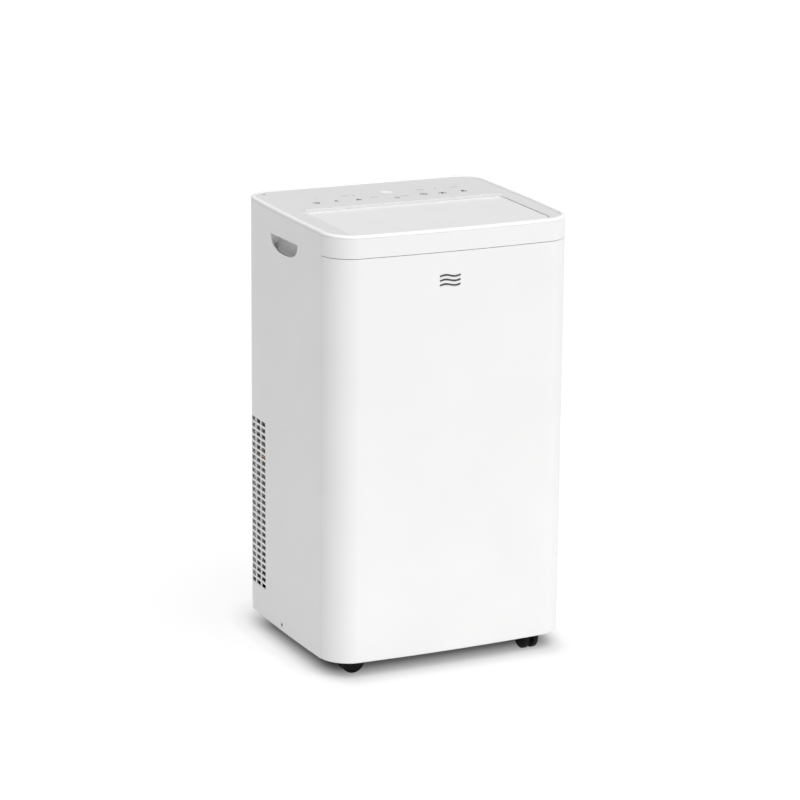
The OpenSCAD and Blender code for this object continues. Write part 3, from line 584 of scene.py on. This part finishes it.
def make_stage():
    """White floor that glows but fades to dark near and under the object, a painted shadow; even
    sky, and one wide soft sun.
    """
    mesh = bpy.data.meshes.new("floor")
    far = 14.0
    corners = [(-far, -far, 0), (far, -far, 0), (far, far, 0), (-far, far, 0)]
    mesh.from_pydata(corners, [], [(0, 1, 2, 3)])
    floor = bpy.data.objects.new("floor", mesh)
    bpy.context.scene.collection.objects.link(floor)
    material, tree, bsdf = shader("floor")
    shade = ramp(tree, noise(tree, 1.2), 3 * (FLOOR_SHADE,), 3 * (FLOOR_SHADE * 1.02,))
    tree.links.new(shade.outputs["Color"], bsdf.inputs["Base Color"])
    bsdf.inputs["Roughness"].default_value = 0.9
    bsdf.inputs["Specular IOR Level"].default_value = 0.1
    place = tree.nodes.new("ShaderNodeTexCoord")
    inner = (BODY_W / 2 - SHADOW_IN.x, BODY_D / 2 - SHADOW_IN.y, 1.0)
    centred = vector_node(tree, "ADD", place.outputs["Object"], (0.0, -PLAN_Y, 0.0))
    outside = vector_node(tree, "SUBTRACT", vector_node(tree, "ABSOLUTE", centred), inner)
    within = vector_node(tree, "MAXIMUM", outside, (0.0, 0.0, 0.0))
    steep = (SHADOW_IN.y / SHADOW_IN.x, 1.0, 1.0)
    away = vector_node(tree, "LENGTH", vector_node(tree, "MULTIPLY", within, steep))
    # The glow's ramp over the distance from a box inside the footprint is a painted shadow: near
    # zero under the body, full about 8 cm out from its front and half that from its sides.
    glow_with_painted_shadow = tree.nodes.new("ShaderNodeValToRGB")
    reach = 2.0
    stops = [(0.0, 0.02), (0.020, 0.05), (0.040, 0.15), (0.062, 0.38), (0.085, 0.64), (0.12, 0.90),
             (0.17, 1.0), (1.0, 1.0)]
    stops = [(distance, level * GLOW_NEAR) for distance, level in stops] + [(1.9, GLOW_FAR)]
    while len(glow_with_painted_shadow.color_ramp.elements) < len(stops):
        glow_with_painted_shadow.color_ramp.elements.new(0.5)
    for element, (distance, level) in zip(glow_with_painted_shadow.color_ramp.elements, stops):
        element.position = distance / reach
        element.color = (level, level, level, 1)
    scaled_away = tree.nodes.new("ShaderNodeMapRange")
    scaled_away.inputs["From Max"].default_value = reach
    tree.links.new(away, scaled_away.inputs["Value"])
    tree.links.new(scaled_away.outputs["Result"], glow_with_painted_shadow.inputs["Fac"])
    tree.links.new(glow_with_painted_shadow.outputs["Color"], bsdf.inputs["Emission Color"])
    bsdf.inputs["Emission Strength"].default_value = 1.0
    mesh.materials.append(material)
    make_wall()

    world = bpy.data.worlds.new("sky")
    world.use_nodes = True
    back = world.node_tree.nodes["Background"]
    back.inputs["Color"].default_value = (1, 1, 1, 1)
    back.inputs["Strength"].default_value = SKY
    bpy.context.scene.world = world

    data = bpy.data.lights.new("sun", "SUN")
    data.energy = SUN_POWER
    data.angle = math.radians(SUN_SPREAD)
    lamp = bpy.data.objects.new("sun", data)
    lamp.matrix_world = Vector(SUN_FROM).to_track_quat("Z", "Y").to_matrix().to_4x4()
    bpy.context.scene.collection.objects.link(lamp)
    soft_lamp("low_lamp", (-1.7, -2.2, 0.35), (-0.1, 0.0, 0.2), 1.4, LOW_POWER)


def make_wall():
    """Low round wall far behind the floor, so that level views end in white."""
    radius, height, parts = 13.0, 3.0, 64
    vertices, faces = [], []
    for k in range(parts):
        a = 2 * math.pi * k / parts
        vertices += [(radius * math.cos(a), radius * math.sin(a), z) for z in (-0.01, height)]
    for k in range(parts):
        n = (k + 1) % parts
        faces.append((2 * k, 2 * k + 1, 2 * n + 1, 2 * n))
    mesh = bpy.data.meshes.new("wall")
    mesh.from_pydata(vertices, [], faces)
    wall = bpy.data.objects.new("wall", mesh)
    bpy.context.scene.collection.objects.link(wall)
    material, tree, bsdf = shader("wall")
    bsdf.inputs["Base Color"].default_value = (0.1, 0.1, 0.1, 1)
    bsdf.inputs["Roughness"].default_value = 0.9
    bsdf.inputs["Specular IOR Level"].default_value = 0.1
    bsdf.inputs["Emission Color"].default_value = (1, 1, 1, 1)
    bsdf.inputs["Emission Strength"].default_value = WALL_GLOW
    mesh.materials.append(material)


def soft_lamp(name, place, aim, size, power):
    """A square lamp at a place, turned to the point it lights."""
    data = bpy.data.lights.new(name, "AREA")
    data.shape = "SQUARE"
    data.size = size
    data.energy = power
    lamp = bpy.data.objects.new(name, data)
    turn = (Vector(aim) - Vector(place)).to_track_quat("-Z", "Y").to_matrix().to_4x4()
    lamp.matrix_world = Matrix.Translation(Vector(place)) @ turn
    bpy.context.scene.collection.objects.link(lamp)


# ------------------------------------------------------------------ put together
make_camera()
make_stage()
bpy.context.scene.view_settings.view_transform = "Standard"

REPLACED = {"front_panel", "upper_front_band", "top_rim"}
EDGE = {
    "side_panel_left": 0.5, "side_panel_right": 0.5, "rear_panel": 0.5, "top_deck": 0.5,
    "power_button": 0.6, "handle_left": 0.6, "handle_right": 0.6, "flap": 0.9, "outlet_duct": 0.5,
    "intake_grille": 0.5, "exhaust_collar": 1.2, "base_pan": 0.8, "lower_drain_plug": 0.8,
    "upper_drain_plug": 0.8, "cable_gland": 0.6, "panel_screws": 0.3, "compressor": 1.0,
}
PLAIN = {
    "rear_panel", "intake_grille", "intake_filter", "outlet_duct", "exhaust_duct", "base_pan",
    "divider_tray", "condenser_fins", "evaporator_fins", "condenser_tubes", "evaporator_tubes",
    "lower_fan_housing", "upper_fan_housing", "lower_fan_wheel", "upper_fan_wheel",
    "slinger_wheel", "main_board", "control_board", "control_box", "refrigerant_pipes",
    "capillary_tube", "exhaust_collar",
}
for node_name in NODES:
    if node_name not in REPLACED:
        dress(node_name, EDGE.get(node_name, 0.3) * MM)

front_shells()
rim_shell()
painted_light_step()
deck_marks()
front_badge()
